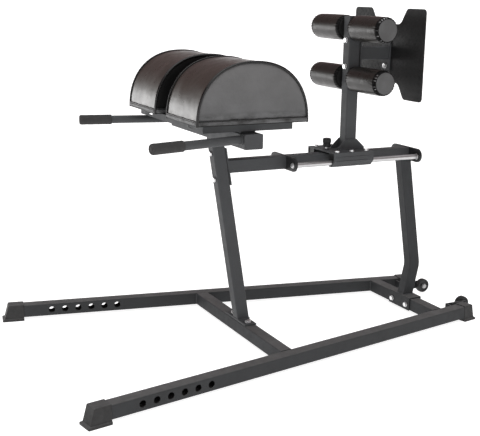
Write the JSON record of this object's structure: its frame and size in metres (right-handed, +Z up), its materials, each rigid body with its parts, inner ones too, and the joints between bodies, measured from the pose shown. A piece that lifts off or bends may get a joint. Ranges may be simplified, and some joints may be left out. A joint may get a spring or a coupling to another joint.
{
  "type": "roman chair",
  "caption": "Glute-ham bench on a splayed tube base: split half-round pads, side handles, and a sliding foot unit with ankle rollers and a foot plate.",
  "frame": {"origin": "on the floor, in the middle of the machine's outer box", "axes": "+Z up, +Y from the handles towards the foot plate, +X to the right-hand side"},
  "size_m": [1.1316, 1.8082, 1.246],
  "materials": {
    "black_plastic": "satin black",
    "black_powder_coat": "black powder coat",
    "black_vinyl": "glossy black vinyl",
    "charcoal_powder_coat": "fine textured charcoal powder coat",
    "chrome": "polished",
    "foot_rubber": "matt",
    "grip_rubber": "matt",
    "tread_plate": "semi-gloss black with a faint diamond tread",
    "zinc_plate": "bright zinc"
  },
  "bodies": {
    "base": {"base_bolt_left": "zinc_plate", "base_bolt_right": "zinc_plate", "beam_bolt_lower": "zinc_plate", "beam_bolt_upper": "zinc_plate", "crossbar": "charcoal_powder_coat", "crossbar_cap_left": "charcoal_powder_coat", "crossbar_cap_right": "charcoal_powder_coat", "foot_cap_front_left": "foot_rubber", "foot_cap_front_right": "foot_rubber", "foot_cap_rear_left": "foot_rubber", "foot_cap_rear_right": "foot_rubber", "front_crossmember": "charcoal_powder_coat", "front_upright": "charcoal_powder_coat", "grip_left": "grip_rubber", "grip_right": "grip_rubber", "guide_rod_left": "chrome", "guide_rod_right": "chrome", "handle_left": "charcoal_powder_coat", "handle_right": "charcoal_powder_coat", "pad_left": "black_vinyl", "pad_right": "black_vinyl", "pad_tray": "charcoal_powder_coat", "rail_left": "charcoal_powder_coat", "rail_right": "charcoal_powder_coat", "rear_crossmember": "charcoal_powder_coat", "rear_upright": "charcoal_powder_coat", "rod_bracket_front": "black_powder_coat", "rod_bracket_rear": "black_powder_coat", "saddle_bolt_left": "zinc_plate", "saddle_bolt_right": "zinc_plate", "top_beam": "black_powder_coat", "wheel_axle_left": "zinc_plate", "wheel_axle_right": "zinc_plate", "wheel_bracket_left": "charcoal_powder_coat", "wheel_bracket_right": "charcoal_powder_coat"},
    "foot_unit": {"carriage": "charcoal_powder_coat", "foot_arm": "charcoal_powder_coat", "foot_plate": "tread_plate", "foot_post": "charcoal_powder_coat", "plate_bolt_lower": "zinc_plate", "plate_bolt_upper": "zinc_plate", "post_bolt_lower": "zinc_plate", "post_bolt_upper": "zinc_plate", "roller_shaft_lower": "zinc_plate", "roller_shaft_upper": "zinc_plate", "slide_block_left": "black_plastic", "slide_block_right": "black_plastic", "slide_bolt_front_left": "zinc_plate", "slide_bolt_front_right": "zinc_plate", "slide_bolt_middle_left": "zinc_plate", "slide_bolt_middle_right": "zinc_plate", "slide_bolt_rear_left": "zinc_plate", "slide_bolt_rear_right": "zinc_plate"},
    "lock_pin": {"plunger": "black_plastic"},
    "ankle_roller_upper_left": {"roller_upper_left": "black_vinyl"},
    "ankle_roller_upper_right": {"roller_upper_right": "black_vinyl"},
    "ankle_roller_lower_left": {"roller_lower_left": "black_vinyl"},
    "ankle_roller_lower_right": {"roller_lower_right": "black_vinyl"},
    "transport_wheel_left": {"wheel_left": "black_plastic"},
    "transport_wheel_right": {"wheel_right": "black_plastic"}
  },
  "joints": [
    {"name": "foot_unit_slide", "type": "slide", "parent": "base", "child": "foot_unit", "axis": [0, 1, 0], "range_m": [-0.15, 0.21]},
    {"name": "lock_pin_lift", "type": "slide", "parent": "foot_unit", "child": "lock_pin", "axis": [0, 0, 1], "range_m": [-0.007, 0.008], "stiffness_N_per_m": 400, "springref_m": -0.02},
    {"name": "ankle_roller_upper_left_spin", "type": "hinge", "parent": "foot_unit", "child": "ankle_roller_upper_left", "pos_m": [-0.132, 0.3595, 1.17], "axis": [1, 0, 0], "continuous": true},
    {"name": "ankle_roller_upper_right_spin", "type": "hinge", "parent": "foot_unit", "child": "ankle_roller_upper_right", "pos_m": [0.132, 0.3595, 1.17], "axis": [1, 0, 0], "continuous": true},
    {"name": "ankle_roller_lower_left_spin", "type": "hinge", "parent": "foot_unit", "child": "ankle_roller_lower_left", "pos_m": [-0.132, 0.3595, 0.979], "axis": [1, 0, 0], "continuous": true},
    {"name": "ankle_roller_lower_right_spin", "type": "hinge", "parent": "foot_unit", "child": "ankle_roller_lower_right", "pos_m": [0.132, 0.3595, 0.979], "axis": [1, 0, 0], "continuous": true},
    {"name": "transport_wheel_left_spin", "type": "hinge", "parent": "base", "child": "transport_wheel_left", "pos_m": [-0.135, 0.874, 0.037], "axis": [1, 0, 0], "continuous": true},
    {"name": "transport_wheel_right_spin", "type": "hinge", "parent": "base", "child": "transport_wheel_right", "pos_m": [0.135, 0.874, 0.037], "axis": [1, 0, 0], "continuous": true}
  ]
}
